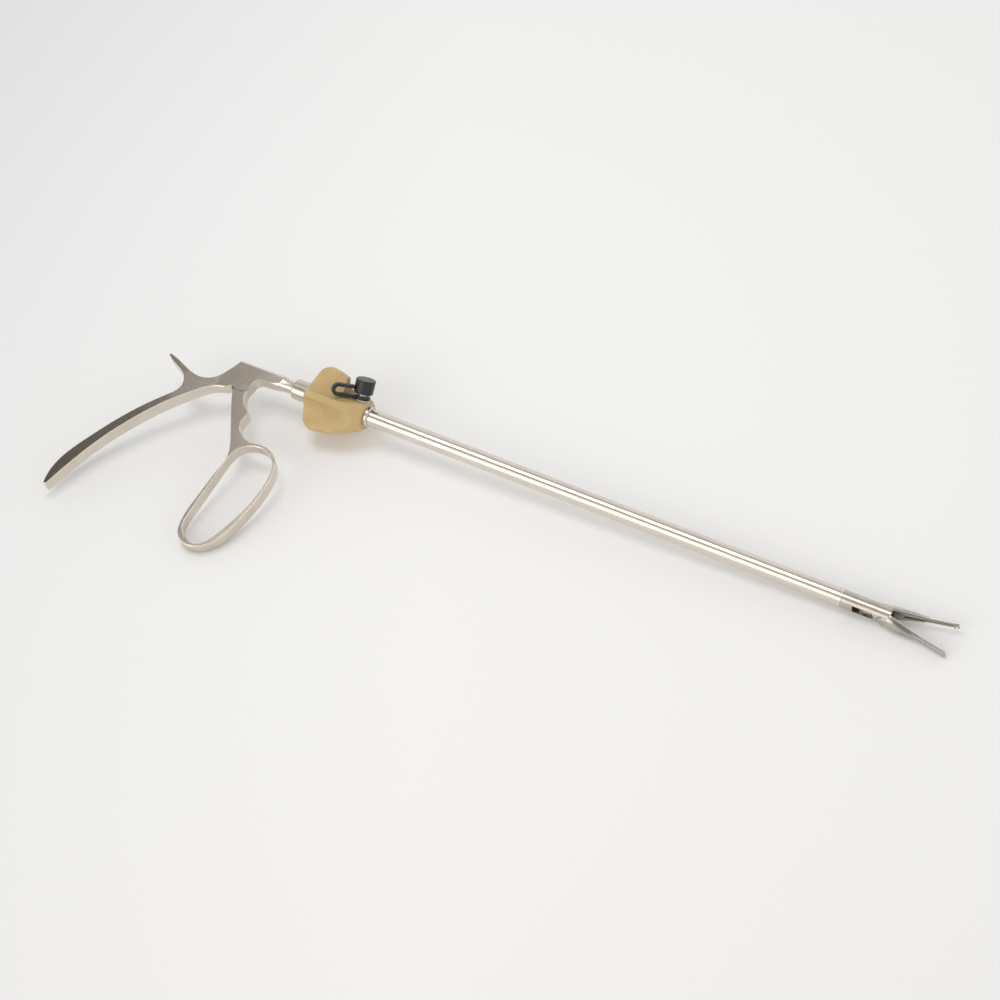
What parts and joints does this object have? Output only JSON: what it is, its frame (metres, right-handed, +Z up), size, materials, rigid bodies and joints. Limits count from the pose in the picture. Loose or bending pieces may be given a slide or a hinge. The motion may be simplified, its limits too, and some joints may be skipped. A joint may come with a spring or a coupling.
{
  "type": "clip applier",
  "caption": "Laparoscopic clip applier: squeezing the looped trigger closes long slender jaws, a finned knob turns the shaft, and a capped port flushes the tube.",
  "frame": {"origin": "on the shaft's axis at the front face of the ferrule, where the tube leaves the knob", "axes": "+Z up, the instrument lying on a table; the shaft's axis leaves the knob close to +X, 2.4 degrees down towards the jaws"},
  "size_m": [0.5155, 0.1329, 0.0396],
  "materials": {
    "satin_steel": "satin",
    "bright_steel": "polished",
    "jaw_steel": "satin",
    "spring_steel": "bright",
    "tan_plastic": "matt moulded",
    "bearing_plastic": "machined",
    "black_rubber": "moulded"
  },
  "bodies": {
    "handle": {"handle_body": "satin_steel", "trigger_pivot_pin": "satin_steel", "collar": "satin_steel", "retaining_ring": "spring_steel", "return_spring": "spring_steel"},
    "trigger": {"trigger_lever": "satin_steel"},
    "shaft": {"bearing_sleeve": "bearing_plastic", "knob_core": "bright_steel", "gland_washer": "bearing_plastic", "rod_seal": "black_rubber", "front_ferrule": "bright_steel", "rotation_knob": "tan_plastic", "outer_tube": "bright_steel", "rod_guide": "bearing_plastic", "tip_fork": "jaw_steel", "jaw_pivot_pin": "jaw_steel", "flush_port": "bright_steel", "cap_strap": "black_rubber"},
    "rod": {"push_rod": "bright_steel", "rod_ball": "bright_steel", "spring_seat": "bright_steel", "rod_tip": "jaw_steel", "drive_pin": "jaw_steel"},
    "upper_jaw": {"upper_jaw": "jaw_steel"},
    "lower_jaw": {"lower_jaw": "jaw_steel"},
    "cap": {"port_cap": "black_rubber"}
  },
  "joints": [
    {"name": "trigger_squeeze", "type": "hinge", "parent": "handle", "child": "trigger", "pos_m": [-0.08096, -0.01014, 0.00188], "axis": [0.0415, -0.1484, 0.9881], "range_deg": [-18, 0], "stiffness_Nm_per_rad": 0.6, "springref_deg": 20.05, "deforming": ["return_spring"]},
    {"name": "shaft_turn", "type": "hinge", "parent": "handle", "child": "shaft", "pos_m": [0, 0, 0], "axis": [0.9991, 0.0031, -0.0415], "continuous": true},
    {"name": "rod_slide", "type": "slide", "parent": "shaft", "child": "rod", "axis": [0.9991, 0.0031, -0.0415], "range_m": [0, 0.0032]},
    {"name": "upper_jaw_hinge", "type": "hinge", "parent": "shaft", "child": "upper_jaw", "pos_m": [0.31673, 0.00098, -0.01315], "axis": [0.0415, -0.1484, 0.9881], "range_deg": [-10.6, 0]},
    {"name": "lower_jaw_hinge", "type": "hinge", "parent": "shaft", "child": "lower_jaw", "pos_m": [0.31673, 0.00098, -0.01315], "axis": [0.0415, -0.1484, 0.9881], "range_deg": [0, 10.6]},
    {"name": "cap_pull", "type": "slide", "parent": "shaft", "child": "cap", "axis": [0.0302, 0.6316, 0.7747], "range_m": [0, 0.009]}
  ],
  "couplings": [
    {"joint": "rod_slide", "follows": "trigger_squeeze", "m_per_rad": -0.010083},
    {"joint": "upper_jaw_hinge", "follows": "trigger_squeeze", "ratio": 0.58889},
    {"joint": "lower_jaw_hinge", "follows": "trigger_squeeze", "ratio": -0.58889}
  ]
}
